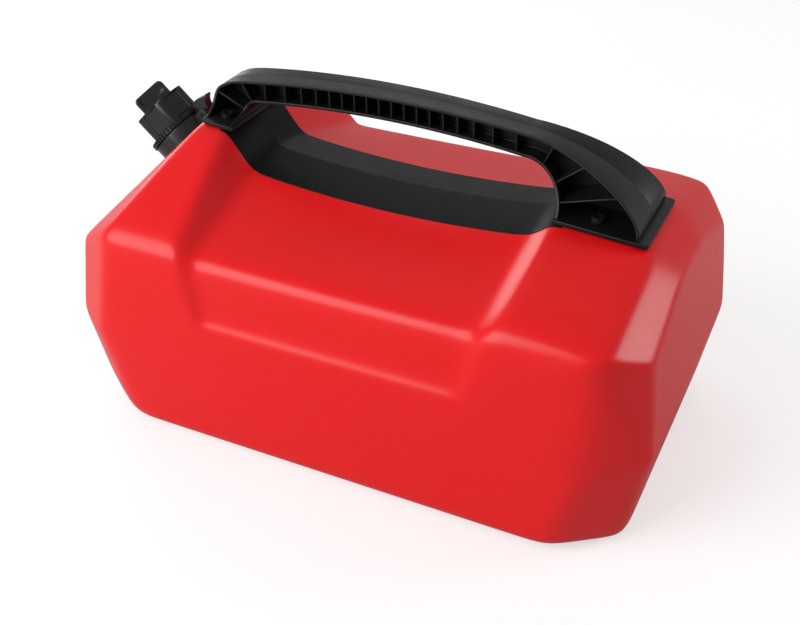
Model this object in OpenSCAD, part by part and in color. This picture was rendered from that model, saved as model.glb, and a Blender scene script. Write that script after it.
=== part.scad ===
// Fuel caddy: a hollow tank with a screwed-on carry handle over a lined hand
// recess, a slanted filler neck, a screw cap with a vent knob, and a sprung
// lever that locks the cap. Millimetres. +X runs along the tank away from the
// neck, -Y is the front, +Z is up. The origin is the middle of the footprint,
// on the floor.

/* [Tank] */
// Length at the belt, the widest line round the tank
tank_len = 440; // [430:1:480]
// Depth at the belt, front to back
tank_dep = 255; // [248:1:280]
// Height of the belt above the floor
belt_z = 79; // [70:1:90]
// Run of each corner's chamfer along the length
corner_x = 38; // [32:1:44]
// Run of each corner's chamfer along the depth
corner_y = 27; // [22:1:32]
// How far each end draws in from the belt to the base
base_in_x = 13; // [8:1:20]
// How far front and back draw in from the belt to the base
base_in_y = 8; // [4:1:14]
// Gap under the tank, which stands on its feet
base_gap = 3; // [2:0.5:6]
// Height of the front and back shoulders
shoulder_z = 163.5; // [160:0.5:168]
// Height of the ridge at the neck end
ridge_left_z = 213; // [208:0.5:220]
// Height of the ridge at the far end
ridge_right_z = 187; // [185:0.5:194]
// Width of the flat ridge that the handle stands on
ridge_w = 70; // [68:1:78]
// Wall thickness
wall = 4; // [3:0.25:5]
// Fillet on the tank's edges
fillet = 10; // [8:0.5:13]

/* [Tank ends] */
// Distance from the neck end of the belt to the ridge
ridge_left_in = 81; // [78:1:86]
// Distance from the far end of the belt to the ridge
ridge_right_in = 33; // [30:1:38]
// Distance from the neck end of the belt to the foot of the slant
slant_in = 12.5; // [10:0.5:16]
// Height of the foot of the slant that carries the neck
slant_z = 139; // [134:1:144]
// Half width of both ends at the foot of the slant
end_half_w = 93; // [88:1:96]
// Distance from the neck end of the belt to the shoulder
shoulder_left_in = 55; // [50:1:60]
// Distance from the far end of the belt to the shoulder
shoulder_right_in = 31; // [29:1:36]
// Distance from the far end of the belt to the brow of the hip facet
brow_in = 7; // [5:0.5:9]
// Height of the brow of the hip facet
brow_z = 147; // [143:1:150]
// Distance from the far end of the belt to the top of the end face
fall_in = 11; // [9:0.5:13]
// Height of the top of the far end face
fall_z = 171.5; // [169:0.5:174]
// Half width of the top of the far end face
fall_half_w = 65; // [60:1:70]

/* [Recesses] */
// Height of the ledge where each sloping panel turns down
ledge_z = 157.5; // [154:0.5:159]
// Height of the sill under each panel
sill_z = 113; // [106:1:122]
// Depth of the recess below the ledge
recess_d = 4.5; // [3:0.5:7]
// Distance from the neck end of the ridge to the recess floor
recess_left_in = 42; // [39:1:47]
// Distance from the far end of the ridge to the recess floor
recess_right_in = 77; // [74:1:83]
// Run of the recess wall at the neck end
wall_run_left = 28; // [24:1:32]
// Rise of the recess wall at the neck end
wall_rise_left = 39; // [36:1:44]
// Run of the recess wall at the far end
wall_run_right = 35; // [30:1:40]
// Rise of the recess wall at the far end
wall_rise_right = 27; // [25:1:32]
// Height of the panels at the liner's edge, at the lowest point
panel_z = 175.2; // [173:0.2:178]
// Distance of the lowest point from the middle of the recess, along X
panel_low_in = 13.5; // [0:0.5:24]
// Radius of the sag along the length
panel_sag_r = 840; // [700:20:1500]
// Rise of the crest in the middle over the liner's edges
crest_rise = 5.5; // [3:0.5:8]

/* [Liner] */
// Width of the liner over the hand recess
liner_w = 70; // [66:1:74]
// Thickness of the liner
liner_t = 3; // [2:0.25:4]

/* [Handle] */
// Height of the hand gap, from the crest to the grip
hand_gap = 49.5; // [46:0.5:60]
// Height of the grip beam
grip_h = 16.3; // [14:0.1:20]
// Width of the grip at its middle
grip_w = 24.8; // [22:0.2:32]
// How far the grip's ends drop below its middle
grip_sag = 6; // [3:0.5:9]
// How far the far end of the grip lies below the neck end
grip_fall = 3; // [0:0.5:6]
// Distance of the neck-end leg from the end of the ridge
leg_in = 2; // [1:0.5:4]
// Distance of the far leg's foot from the end of the ridge
foot_in = 6.5; // [4:0.5:9]
// Inner radius where the grip turns into the neck-end leg
bend_left = 11; // [9:0.5:13]
// Inner radius where the grip turns into the far leg
bend_right = 29; // [26:0.5:31]
// Thickness of the neck-end leg along X
leg_left = 24; // [22:0.5:26]
// Length of the far leg's foot along X
leg_right = 55; // [52:0.5:56]
// Width of the legs where they stand on the plates
leg_w = 64; // [58:1:66]
// Thickness of the flanges
flange_t = 2.2; // [1.8:0.1:3]
// Thickness of the middle web
web_t = 2.5; // [2:0.1:4]
// Thickness of the ribs
rib_t = 1.4; // [1:0.1:2]
// Ribs along the grip between the two bends
rib_count = 18; // [8:1:22]
// Thickness of the foot plates
plate_t = 3; // [2:0.25:4]
// Radius of the outer corners of the neck-end foot plate
plate_corner_left = 6; // [1:0.5:8]
// Radius of the outer corners of the far foot plate
plate_corner_right = 2.5; // [1:0.5:8]

/* [Handle screws] */
// Radius of the screws' shanks
screw_r = 2.5; // [2:0.1:2.8]
// Radius of the screws' heads
screw_head_r = 4.25; // [3.8:0.05:4.6]
// Height of the screws' heads
screw_head_h = 3.5; // [2.5:0.25:4]
// Radius of the threaded inserts
insert_r = 3.8; // [3.4:0.1:4.2]
// Length of the threaded inserts
insert_h = 11; // [9:0.5:13]
// Distance of the screws from the middle plane
screw_y = 20; // [17:0.5:22]
// Distance of the far screws from the end of the far leg
screw_in = 30.25; // [27:0.25:32]

/* [Neck] */
// Distance down the slant from the ridge to the neck's axis
neck_drop = 49.5; // [48:0.1:52]
// Radius of the neck's collar
collar_r = 24.5; // [23.5:0.25:25]
// Height of the collar over the slant
collar_h = 14; // [13:0.25:15]
// Thickness of the seal under the collar
seal_t = 1.45; // [1:0.05:2]
// Radius of the spigot in the tank's hole
spigot_r = 19.5; // [18.5:0.1:21]
// Length of the spigot below the seal
spigot_h = 9; // [7:0.5:12]
// Bore of the neck
neck_bore_r = 14.5; // [14.3:0.1:15]
// Radius of the neck under its thread
thread_r = 16.4; // [16.1:0.05:16.6]
// Height of the thread's ridge
thread_h = 1.4; // [1:0.05:1.6]
// Width of the thread's ridge at its root
thread_w = 1.6; // [1.2:0.1:1.9]
// Pitch of the thread
thread_pitch = 4; // [3.6:0.1:4.4]
// Turns of the thread
thread_turns = 2; // [1:0.25:2]
// Height of the threaded rim over the slant
rim_z = 27.5; // [26.5:0.25:28.5]

/* [Cap] */
// Radius of the toothed flange
teeth_r = 25.5; // [25:0.1:25.6]
// Thickness of the toothed flange
teeth_h = 3.6; // [3:0.1:4]
// Number of teeth round the flange
teeth_n = 48; // [24:2:60]
// Depth of the teeth
teeth_d = 1; // [0.6:0.1:1.2]
// Radius of the six-sided grip over its corners
hex_r = 23.8; // [23.4:0.1:24.2]
// Turn of the six-sided grip about the neck's axis, in degrees
hex_turn = 15; // [0:1:30]
// Top of the six-sided grip over the slant
hex_top = 37.5; // [37:0.25:40]
// Depth of the hollow panel in each face of the grip
hex_panel_d = 0.7; // [0.4:0.1:1]
// Border left round each hollow panel
hex_border = 2.6; // [2:0.1:4]
// Thickness of the cap's gasket
gasket_t = 2.5; // [1.8:0.1:2.7]

/* [Vent knob] */
// Width of the knob's blade
knob_w = 26; // [20:0.5:30]
// Thickness of the blade at its foot
knob_t = 9; // [7.5:0.25:10]
// Height of the blade
knob_h = 14.4; // [12:0.2:17]
// Radius of the blade's two top corners
knob_corner = 4; // [2:0.25:6]
// Turn of the blade about the neck's axis, in degrees
knob_turn = 45; // [0:5:90]
// Depth of the finger hollow in each side of the blade
knob_dish = 1.6; // [0.6:0.1:2]
// Radius of the knob's stem
stem_r = 4; // [3.8:0.1:4.3]

/* [Lock lever] */
// Width of the lever
lever_w = 7; // [6:0.5:9]
// Reach of the thumb pad from the neck's axis
lever_tip = 45; // [44:0.5:48]
// Height of the lever's nose over the slant
lever_top = 19; // [18.5:0.25:20]
// How far the thumb pad's tip lies below the nose
pad_drop = 3; // [1:0.25:4]
// Thickness of the thumb pad at its tip
pad_t = 1.4; // [1:0.1:2]
// Distance of the pin from the neck's axis
pin_x = 31.5; // [31:0.25:32.5]
// Height of the pin over the slant
pin_z = 7; // [6.5:0.25:7.5]
// Radius of the pin
pin_r = 2; // [1.6:0.1:2.2]
// Wall of the ears and of the lever's hub round the pin
pin_wall = 2.3; // [2:0.1:2.5]
// Thickness of the ears that hold the pin
ear_t = 3; // [2.5:0.25:3.5]

/* [Spout] */
// Outer radius of the stored spout
spout_r = 13.9; // [13.5:0.1:14.1]
// Wall of the spout
spout_wall = 1.7; // [1.4:0.1:2]
// Thickness of the spout's rim
spout_rim_t = 2; // [1.5:0.1:2.2]
// Depth that the spout reaches below the slant
spout_depth = 86; // [70:1:95]
// Thickness of the flame screen in the spout
screen_t = 1; // [0.8:0.1:1.5]
// Radius of the holes in the flame screen
screen_hole_r = 1.1; // [0.6:0.1:1.4]

/* [Feet] */
// Radius of the rubber feet
foot_r = 11; // [9:0.5:12]
// Distance of the feet from the ends of the belt
foot_in_x = 52; // [50:1:62]
// Distance of the feet from the front and the back of the belt
foot_in_y = 29.5; // [28:0.5:40]
// Depth that each foot is let into the tank
foot_seat = 1.5; // [1:0.25:2]
// Radius of each foot's stem
foot_stem_r = 4; // [3:0.25:5]
// Length of each foot's stem above its seat
foot_stem_h = 8; // [6:0.5:10]

/* [Fits] */
// Gap between pieces that move past each other
run_gap = 0.4; // [0.3:0.05:0.5]
// Clearance round pins, stems and screws in their holes
pin_gap = 0.05; // [0.02:0.01:0.1]
// Gap round fixed pieces that are let into another
fit_gap = 0.15; // [0.1:0.05:0.25]

/* [Hidden] */
$fn = 64;
ball_fn = 24;
red = "#d3141a";
black = "#1c1c1f";
rubber = "#141414";
steel = "#b4b6ba";
brass = "#b08d3c";
eps = 0.01;

half_len = tank_len / 2;
half_dep = tank_dep / 2;
ridge_x0 = -half_len + ridge_left_in;
ridge_x1 = half_len - ridge_right_in;
ridge_k = (ridge_right_z - ridge_left_z) / (ridge_x1 - ridge_x0);
tank_mid = [0, 0, shoulder_z / 2];

function ridge_z(x) = ridge_left_z + ridge_k * (x - ridge_x0);
function flip(p) = [p[0], -p[1], p[2]];
function unit(v) = v / norm(v);

// Normal of the plane through three points, facing away from the tank's middle
function face_n(a, b, c) =
  let(n = unit(cross(b - a, c - a)))
  n * (a - tank_mid) < 0 ? -n : n;

// Centre of a ball of radius r that touches three planes meeting at p
function inset(p, n1, n2, n3, r) =
  p - r * (cross(n2, n3) + cross(n3, n1) + cross(n1, n2)) / (n1 * cross(n2, n3));

// Corner centres of an eight-sided ring, drawn in by r
function ring8(hl, hd, z, r) =
  let(n = unit([corner_y, corner_x]))
  [for (sx = [-1, 1], sy = [-1, 1], p = [
      [hl - r, hd - corner_y - r * (1 - n[0]) / n[1]],
      [hl - corner_x - r * (1 - n[1]) / n[0], hd - r]])
    [sx * p[0], sy * p[1], z]];

// Corners of the tank's front half, before their edges are rounded
belt_l = [-half_len, -half_dep + corner_y, belt_z];
belt_r = [half_len, -half_dep + corner_y, belt_z];
shoulder_l = [-half_len + shoulder_left_in, -half_dep, shoulder_z];
shoulder_r = [half_len - shoulder_right_in, -half_dep, shoulder_z];
slant_l = [-half_len + slant_in, -end_half_w, slant_z];
brow_r = [half_len - brow_in, -end_half_w, brow_z];
fall_r = [half_len - fall_in, -fall_half_w, fall_z];
ridge_l = [ridge_x0, -ridge_w / 2, ridge_left_z];
ridge_r = [ridge_x1, -ridge_w / 2, ridge_right_z];

n_front = [0, -1, 0];
n_slope_l = face_n(shoulder_l, shoulder_r, ridge_l);
n_slope_r = face_n(ridge_l, shoulder_r, ridge_r);
n_slant = face_n(slant_l, flip(slant_l), ridge_l);
n_ridge = face_n(ridge_l, flip(ridge_l), ridge_r);
n_end_l = face_n(belt_l, flip(belt_l), slant_l);
n_end_r = face_n(belt_r, flip(belt_r), brow_r);
n_fall = face_n(ridge_r, flip(ridge_r), fall_r);
n_hip_l = face_n(shoulder_l, slant_l, ridge_l);
n_hip_r = face_n(shoulder_r, brow_r, fall_r);

upper_balls = [
  inset(shoulder_l, n_front, n_slope_l, n_hip_l, fillet),
  inset(shoulder_r, n_front, n_slope_r, n_hip_r, fillet),
  inset(slant_l, n_slant, n_end_l, n_hip_l, fillet),
  inset(ridge_l, n_slant, n_ridge, n_slope_l, fillet),
  inset(ridge_r, n_ridge, n_fall, n_slope_r, fillet),
  inset(fall_r, n_fall, n_end_r, n_hip_r, fillet),
  inset(brow_r, n_end_r, n_hip_r, n_front, fillet)];
balls = concat(
  ring8(half_len - base_in_x, half_dep - base_in_y, base_gap + fillet, fillet),
  ring8(half_len, half_dep, belt_z, fillet),
  upper_balls,
  [for (p = upper_balls) flip(p)]);

// The closed outer form of the tank, with its faces moved in by d
module tank_form(d)
  hull()
    for (p = balls)
      translate(p) sphere(r = fillet - d, $fn = ball_fn);

// A solid skinned over rings that all have the same number of points, with the
// faces of its two ends given by the places of their points in a ring
module loft(rings, ends) {
  n = len(rings[0]);
  m = len(rings);
  points = [for (r = rings, p = r) p];
  sides = [for (i = [0:m - 2], j = [0:n - 1])
    let(a = i * n + j, b = i * n + (j + 1) % n)
    each [[a, b, b + n], [a, b + n, a + n]]];
  first = [for (f = ends) [f[2], f[1], f[0]]];
  last = [for (f = ends) [for (j = f) (m - 1) * n + j]];
  polyhedron(points, concat(sides, first, last), convexity = 8);
}

// Hand recess and label recesses, as the space above and in front of them
panel_y = half_dep - recess_d;
recess_x0 = ridge_x0 + recess_left_in;
recess_x1 = ridge_x1 - recess_right_in;
panel_low_x = (recess_x0 + recess_x1) / 2 + panel_low_in;
ledge_rise_left = 24;
ledge_rise_right = 34;
ledge_out_left = 10;
ledge_out_right = 14;
sill_out = 17;
recess_top = ridge_left_z + 2 * wall_rise_left;
recess_far = half_dep + 2 * sill_out;

function floor_z(x) = panel_z + pow(x - panel_low_x, 2) / (2 * panel_sag_r);
function recess_ring(x, edge_z, top_y, top_z, low_y, t) =
  let(front = [
    [-recess_far, sill_z - t - (recess_far - low_y)],
    [-low_y + t, sill_z - t],
    [-top_y + t, top_z - t],
    [-liner_w / 2, edge_z - t],
    [0, edge_z + crest_rise - t]])
  [for (p = concat([[-recess_far, recess_top], [recess_far, recess_top]],
      [for (i = [0:4]) [-front[i][0], front[i][1]]], [for (i = [3:-1:0]) front[i]]))
    [x, p[0], p[1]]];

// The recess form, with its floor and walls moved out into the tank by t
recess_ends = [[0, 1, 6], [1, 2, 3], [1, 3, 4], [1, 4, 5], [1, 5, 6],
  [0, 6, 7], [0, 7, 8], [0, 8, 9], [0, 9, 10]];
module recess_form(t) {
  foot_xs = [for (i = [0:6]) recess_x0 - t + i / 6 * (recess_x1 - recess_x0 + 2 * t)];
  loft(concat(
    [recess_ring(recess_x0 - t - wall_run_left, floor_z(recess_x0) + wall_rise_left,
      panel_y + ledge_out_left, ledge_z + ledge_rise_left, half_dep + sill_out, t)],
    [for (x = foot_xs) recess_ring(x, floor_z(x), panel_y, ledge_z, panel_y, t)],
    [recess_ring(recess_x1 + t + wall_run_right, floor_z(recess_x1) + wall_rise_right,
      panel_y + ledge_out_right, ledge_z + ledge_rise_right, half_dep + sill_out, t)]),
    recess_ends);
}

// The part of the recess form that lies under the liner, g wider than it on each side
module liner_bed(t, g)
  intersection() {
    recess_form(t);
    translate([0, liner_w / 2 + g, 0])
      rotate([90, 0, 0])
        linear_extrude(height = liner_w + 2 * g)
          polygon([[ridge_x0, 0], [ridge_x1, 0], [ridge_x1, ridge_right_z], [ridge_x0, ridge_left_z]]);
  }

// Frames on the ridge and on the slant
ridge_tilt = -atan(ridge_k);
neck_tilt = atan2(ridge_left_z - slant_z, ridge_left_in - slant_in);
neck_x = ridge_x0 - neck_drop * cos(neck_tilt);
neck_z = ridge_left_z - neck_drop * sin(neck_tilt);

module on_ridge(x)
  translate([x, 0, ridge_z(x)])
    rotate([0, ridge_tilt, 0])
      children();

module on_neck()
  translate([neck_x, 0, neck_z])
    rotate([0, -neck_tilt, 0])
      children();

// Places of the handle's screws
screw_xl = ridge_x0 + leg_in + leg_left / 2;
screw_xr = ridge_x1 - foot_in - screw_in;
module at_screws()
  for (x = [screw_xl, screw_xr], s = [-1, 1])
    on_ridge(x) translate([0, s * screw_y, 0]) children();

// Places of the feet, where sx and sy choose the corner
foot_x = half_len - foot_in_x;
foot_y = half_dep - foot_in_y;
module at_foot(sx, sy)
  translate([sx * foot_x, sy * foot_y, 0]) children();

foot_top = base_gap + foot_seat;
insert_floor = 3;
boss_wall = 3;

module tank()
  color(red)
    difference() {
      tank_form(0);
      recess_form(0);
      liner_bed(liner_t + fit_gap, fit_gap);
      difference() {
        tank_form(wall);
        recess_form(wall);
        liner_bed(liner_t + fit_gap + wall, wall);
        at_screws()
          translate([0, 0, -insert_h - insert_floor]) cylinder(r = insert_r + boss_wall, h = insert_h + 10);
        for (sx = [-1, 1], sy = [-1, 1])
          at_foot(sx, sy) cylinder(r = foot_stem_r + boss_wall, h = foot_top + foot_stem_h + boss_wall);
        on_neck() translate([0, 0, -wall - 2]) cylinder(r = spigot_r + wall, h = wall + 8);
      }
      on_neck() translate([0, 0, -wall - 12]) cylinder(r = spigot_r + pin_gap, h = wall + 22);
      at_screws()
        translate([0, 0, -insert_h - fit_gap]) cylinder(r = insert_r + pin_gap, h = insert_h + 10);
      for (sx = [-1, 1], sy = [-1, 1])
        at_foot(sx, sy) {
          translate([0, 0, -1]) cylinder(r = foot_r + fit_gap, h = foot_top + 1);
          cylinder(r = foot_stem_r + pin_gap, h = foot_top + foot_stem_h + fit_gap);
        }
    }

module saddle_liner()
  color(black)
    difference() {
      liner_bed(liner_t, 0);
      recess_form(0);
    }

// The handle's outline in the XZ plane: u runs from the neck-end foot (-1) over the
// neck-end bend (0 to 1), the grip (1 to 2) and the far bend (2 to 3) to the far foot (4)
leg_x0 = ridge_x0 + leg_in;
leg_x1 = ridge_x1 - foot_in;
bend_xl = leg_x0 + leg_left + bend_left;
bend_xr = leg_x1 - leg_right - bend_right;
span = bend_xr - bend_xl;
grip_mid = (bend_xl + bend_xr) / 2;
grip_top = floor_z(grip_mid) + crest_rise + hand_gap + grip_h;
left_round = 5;
right_round = 1.55;

function mix(a, b, k) = a + (b - a) * k;
function grip_z(x) =
  let(v = (x - grip_mid) / (span / 2)) grip_top - grip_fall / 2 * v - grip_sag * v * v;
bend_l = [bend_xl, grip_z(bend_xl) - grip_h - bend_left];
bend_r = [bend_xr, grip_z(bend_xr) - grip_h - bend_right];

// Distance from a bend's centre to a rounded corner a wide and b high, at angle f
function corner_r(f, a, b, p) =
  pow(pow(abs(cos(f)) / a, p) + pow(abs(sin(f)) / b, p), -1 / p);
function left_b(f) =
  grip_z(max(leg_x0, bend_xl - (grip_h + bend_left) / max(tan(180 - f), 0.1))) - bend_l[1];
function around(c, r, f) = c + r * [cos(f), sin(f)];

function outer(u) =
  u < 0 ? [leg_x0, mix(bend_l[1], ridge_z(leg_x0), -u)] :
  u < 1 ? let(f = 180 - 90 * u) around(bend_l, corner_r(f, leg_left + bend_left, left_b(f), left_round), f) :
  u <= 2 ? let(x = mix(bend_xl, bend_xr, u - 1)) [x, grip_z(x)] :
  u <= 3 ? let(f = 270 - 90 * u)
    around(bend_r, corner_r(f, leg_right + bend_right, grip_h + bend_right, right_round), f) :
  [leg_x1, mix(bend_r[1], ridge_z(leg_x1), u - 3)];
function inner(u) =
  u < 0 ? [leg_x0 + leg_left, mix(bend_l[1], ridge_z(leg_x0 + leg_left), -u)] :
  u < 1 ? around(bend_l, bend_left, 180 - 90 * u) :
  u <= 2 ? let(x = mix(bend_xl, bend_xr, u - 1)) [x, grip_z(x) - grip_h] :
  u <= 3 ? around(bend_r, bend_right, 270 - 90 * u) :
  [leg_x1 - leg_right, mix(bend_r[1], ridge_z(leg_x1 - leg_right), u - 3)];

// Half width of the beam: both feet flare out to the plates
waist_l = grip_w / 2 + 1.6;
function half_w(u) =
  u < 0 ? leg_w / 2 :
  u < 1 ? mix(waist_l, leg_w / 2, pow(1 - u, 7)) :
  u < 2 ? mix(grip_w / 2, waist_l, pow(2 - u, 2)) :
  u < 3 ? mix(grip_w / 2, leg_w / 2, pow(u - 2, 1.8)) : leg_w / 2;

stations = concat([-1, 0, 0.04, 0.08, 0.13], [for (i = [1:5]) i / 6 + 0.03],
  [for (i = [0:9]) 1 + i / 10], [for (i = [0:11]) 2 + i / 12], [3, 4]);

// Ribs, closer together in the middle of the grip than near the bends
rib_us = concat([0.28, 0.69],
  [for (i = [0:rib_count - 1])
    let(v = 2 * i / (rib_count - 1) - 1) 1.5 + (0.79 * v + 0.15 * pow(v, 5)) / 2],
  [2.29, 2.58, 2.82]);
cell_us = concat([-1], rib_us, [4]);

// Point at u, a distance d inside the outer or the inner edge, moved s along that edge
function along(u, s, of) =
  let(h = 0.01, a = of ? outer(u - h) : inner(u - h), b = of ? outer(u + h) : inner(u + h))
  u + s * 2 * h / norm(b - a);
function outer_in(u) = outer(u) + flange_t * unit(inner(u) - outer(u));
function inner_in(u) = inner(u) + flange_t * unit(outer(u) - inner(u));

// Outline of the hollow cell between two ribs
function cell(a, b) =
  let(
    ga = a == -1 ? 0 : rib_t / 2,
    gb = b == 4 ? 0 : rib_t / 2,
    oa = along(a, ga, true),
    ob = along(b, -gb, true),
    ia = along(a, ga, false),
    ib = along(b, -gb, false))
  concat(
    [for (i = [0:5]) outer_in(mix(oa, ob, i / 5))],
    [for (i = [5:-1:0]) inner_in(mix(ia, ib, i / 5))]);

module handle_cells()
  for (s = [0, 1])
    mirror([0, s, 0])
      translate([0, -web_t / 2, 0])
        rotate([90, 0, 0])
          linear_extrude(height = leg_w)
            for (i = [0:len(cell_us) - 2])
              polygon(cell(cell_us[i], cell_us[i + 1]));

// Foot plate from the ridge's end at x0 to x1, its two corners at x0 rounded
module plate(x0, x1, corner) {
  run = abs(x1 - x0) / cos(ridge_tilt);
  half = ridge_w / 2 - 1;
  on_ridge(x0)
    mirror([x1 < x0 ? 1 : 0, 0, 0])
      linear_extrude(height = plate_t)
        union() {
          translate([corner, -half]) square([run - corner, 2 * half]);
          translate([0, corner - half]) square([run, 2 * (half - corner)]);
          for (s = [-1, 1])
            translate([corner, s * (half - corner)]) circle(r = corner);
        }
}

module handle()
  color(black)
    difference() {
      union() {
        difference() {
          loft([for (u = stations)
            let(o = outer(u), i = inner(u), w = half_w(u))
            [[o[0], -w, o[1]], [o[0], w, o[1]], [i[0], w, i[1]], [i[0], -w, i[1]]]],
            [[0, 1, 2], [0, 2, 3]]);
          handle_cells();
        }
        plate(ridge_x0, leg_x0 + leg_left + 1, plate_corner_left);
        plate(ridge_x1, leg_x1 - leg_right - 1, plate_corner_right);
      }
      at_screws() translate([0, 0, -1]) cylinder(r = screw_r + pin_gap, h = plate_t + 2);
      at_screws() translate([0, 0, plate_t]) cylinder(r = screw_head_r + run_gap, h = screw_head_h + 2);
    }

module handle_screws()
  color(steel)
    at_screws()
      difference() {
        union() {
          translate([0, 0, -insert_h + 1]) cylinder(r = screw_r, h = insert_h - 1 + plate_t + eps);
          translate([0, 0, plate_t]) cylinder(r = screw_head_r, h = screw_head_h);
        }
        translate([0, 0, plate_t + screw_head_h - 2]) cylinder(r = screw_r, h = 3, $fn = 6);
      }

module handle_inserts()
  color(brass)
    at_screws()
      translate([0, 0, -insert_h])
        difference() {
          cylinder(r = insert_r, h = insert_h - fit_gap);
          translate([0, 0, -1]) cylinder(r = screw_r + pin_gap, h = insert_h + 2);
        }

// The closure is drawn on the slant: x runs up the slant and z along the neck's axis
seal_gap = 0.05;
collar_z = seal_t + 2 * seal_gap;
flange_z = collar_h + run_gap;
hex_z = flange_z + teeth_h;
spout_rim_z = rim_z + fit_gap;
gasket_z = spout_rim_z + spout_rim_t + run_gap;
ceiling_z = gasket_z + gasket_t + run_gap;
cap_bore_r = thread_r + thread_h + run_gap;
ear_y = lever_w / 2 + run_gap;
hub_r = pin_r + pin_wall;

module neck_seal()
  color(rubber)
    on_neck()
      translate([0, 0, seal_gap])
        difference() {
          cylinder(r = collar_r - run_gap, h = seal_t);
          translate([0, 0, -1]) cylinder(r = spigot_r + run_gap, h = seal_t + 2);
        }

// A thread ridge wound round the neck's axis from a root radius to a crest radius, which
// lies inside the root on the cap
ridge_sink = 0.5;
ridge_steps = 24;
module wound_ridge(root, crest, z0, turns) {
  side = sign(crest - root);
  loft([for (i = [0:turns * ridge_steps])
    let(f = 360 * i / ridge_steps, z = z0 + thread_pitch * i / ridge_steps)
    [for (p = [[root, -2], [crest, -1], [crest, 1], [root, 2]])
      [p[0] * cos(f), p[0] * sin(f), z + side * p[1] * thread_w / 4]]],
    [[0, 1, 2], [0, 2, 3]]);
}

thread_z = collar_h + thread_w;
module ears()
  for (s = [-1, 1])
    translate([0, s * (ear_y + ear_t / 2) + ear_t / 2, 0])
      rotate([90, 0, 0])
        linear_extrude(height = ear_t)
          union() {
            polygon([[collar_r / 2, collar_z], [pin_x, pin_z - hub_r], [pin_x, pin_z + hub_r],
              [collar_r / 2, collar_h - 1]]);
            translate([pin_x, pin_z]) circle(r = hub_r);
          }

module filler_neck()
  color(black)
    on_neck()
      difference() {
        union() {
          translate([0, 0, collar_z]) cylinder(r = collar_r, h = collar_h - collar_z);
          translate([0, 0, collar_z - spigot_h]) cylinder(r = spigot_r, h = spigot_h + 1);
          translate([0, 0, collar_h - 1]) cylinder(r = thread_r, h = rim_z - collar_h + 1);
          wound_ridge(thread_r - ridge_sink, thread_r + thread_h, thread_z, thread_turns);
          ears();
        }
        translate([0, 0, -spigot_h]) cylinder(r = neck_bore_r, h = spigot_h + rim_z + 1);
        translate([pin_x, 0, pin_z])
          rotate([90, 0, 0]) cylinder(r = pin_r + pin_gap, h = 4 * lever_w, center = true);
      }

spout_rim_r = thread_r - run_gap;
spout_bore_r = spout_r - spout_wall;
screen_seat = 1.2;
module spout()
  color(black)
    on_neck()
      rotate_extrude()
        polygon([[spout_bore_r, screen_seat - spout_depth],
          [spout_bore_r - screen_seat, screen_seat - spout_depth], [spout_bore_r - screen_seat, -spout_depth],
          [spout_r, -spout_depth], [spout_r, spout_rim_z], [spout_rim_r, spout_rim_z],
          [spout_rim_r, spout_rim_z + spout_rim_t], [spout_bore_r, spout_rim_z + spout_rim_t]]);

screen_r = spout_bore_r - 2 * pin_gap;
hole_pitch = screen_r * 0.38;
module flame_screen()
  color(steel)
    on_neck()
      translate([0, 0, -spout_depth + screen_seat + pin_gap])
        difference() {
          cylinder(r = screen_r, h = screen_t);
          for (k = [0:2], i = [0:max(6 * k, 1) - 1])
            rotate([0, 0, i * 60 / max(k, 1)])
              translate([k * hole_pitch, 0, -1]) cylinder(r = screen_hole_r, h = screen_t + 2, $fn = 24);
        }

module cap_gasket()
  color(rubber)
    on_neck()
      translate([0, 0, gasket_z])
        difference() {
          cylinder(r = cap_bore_r - run_gap, h = gasket_t);
          translate([0, 0, -1]) cylinder(r = stem_r + 2, h = gasket_t + 2);
        }

// Hollow panel in one face of the six-sided grip
hex_flat = hex_r * cos(30);
module hex_panel()
  translate([hex_flat - hex_panel_d, -hex_r / 2 + hex_border, hex_z + hex_border])
    cube([hex_panel_d + 1, hex_r - 2 * hex_border, hex_top - hex_z - 2 * hex_border]);

// Teeth and the gaps between them, as shares of one tooth's pitch
tooth_pitch = 2 * PI * teeth_r / teeth_n;
gap_root = tooth_pitch * 0.12;
gap_mouth = tooth_pitch * 0.25;
module flange()
  difference() {
    cylinder(r = teeth_r, h = teeth_h);
    for (i = [0:teeth_n - 1])
      rotate([0, 0, 360 * i / teeth_n])
        translate([teeth_r - teeth_d, 0, -1])
          linear_extrude(height = teeth_h + 2)
            polygon([[0, -gap_root], [2 * teeth_d, -gap_mouth], [2 * teeth_d, gap_mouth], [0, gap_root]]);
  }

module cap()
  color(black)
    on_neck() {
      difference() {
        union() {
          translate([0, 0, flange_z]) flange();
          rotate([0, 0, hex_turn])
            translate([0, 0, hex_z - eps]) cylinder(r = hex_r, h = hex_top - hex_z + eps, $fn = 6);
        }
        for (i = [0:5])
          rotate([0, 0, 60 * i + 30 + hex_turn]) hex_panel();
        translate([0, 0, flange_z - 1]) cylinder(r = cap_bore_r, h = ceiling_z - flange_z + 1);
        cylinder(r = stem_r + pin_gap, h = hex_top + 1);
      }
      wound_ridge(cap_bore_r + ridge_sink, thread_r + run_gap, thread_z + thread_pitch / 2, thread_turns);
    }

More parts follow.
